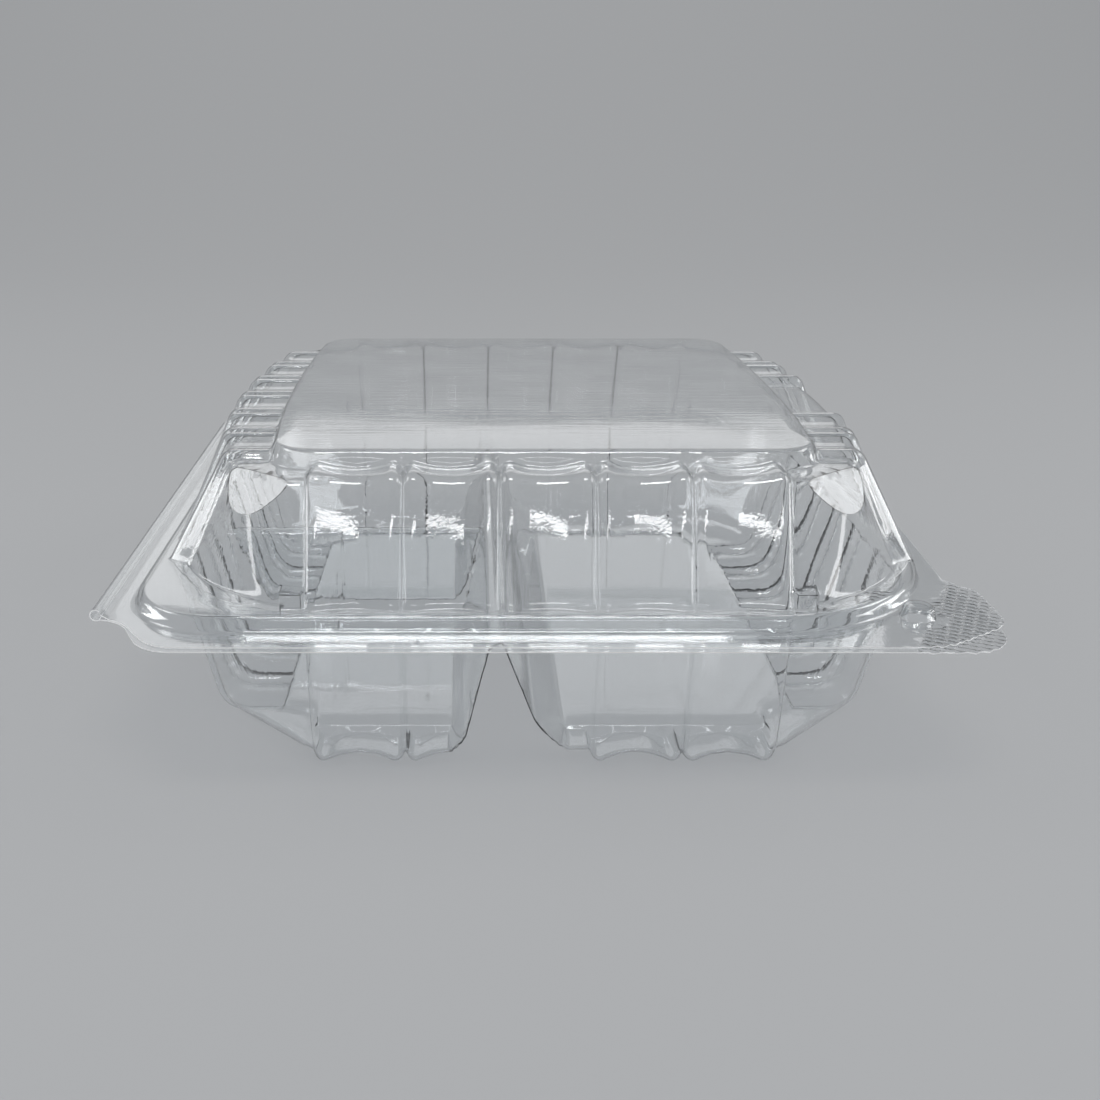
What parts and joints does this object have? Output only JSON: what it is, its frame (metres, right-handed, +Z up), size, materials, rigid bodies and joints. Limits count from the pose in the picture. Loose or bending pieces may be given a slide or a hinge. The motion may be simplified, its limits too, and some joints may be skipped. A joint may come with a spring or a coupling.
{
  "type": "plastic clamshell pack",
  "caption": "Clear hinged clamshell food pack with ribbed walls, a raised lid panel, dividers in the tray, a seal ring, corner finger tabs and lock buttons.",
  "frame": {"origin": "bottom centre of the closed pack's box, on the plane its feet stand on", "axes": "+X from the hinge towards the finger tabs, +Y away from the viewer, +Z up"},
  "size_m": [0.212, 0.208, 0.074],
  "materials": {
    "clear_sheet": "clear glossy thermoformed PET sheet"
  },
  "bodies": {
    "base": {"tray": "clear_sheet"},
    "cover": {"lid": "clear_sheet"}
  },
  "joints": [
    {"name": "lid_hinge", "type": "hinge", "parent": "base", "child": "cover", "pos_m": [-0.106, 0, 0.0389], "axis": [0, -1, 0], "range_deg": [0, 180]}
  ]
}
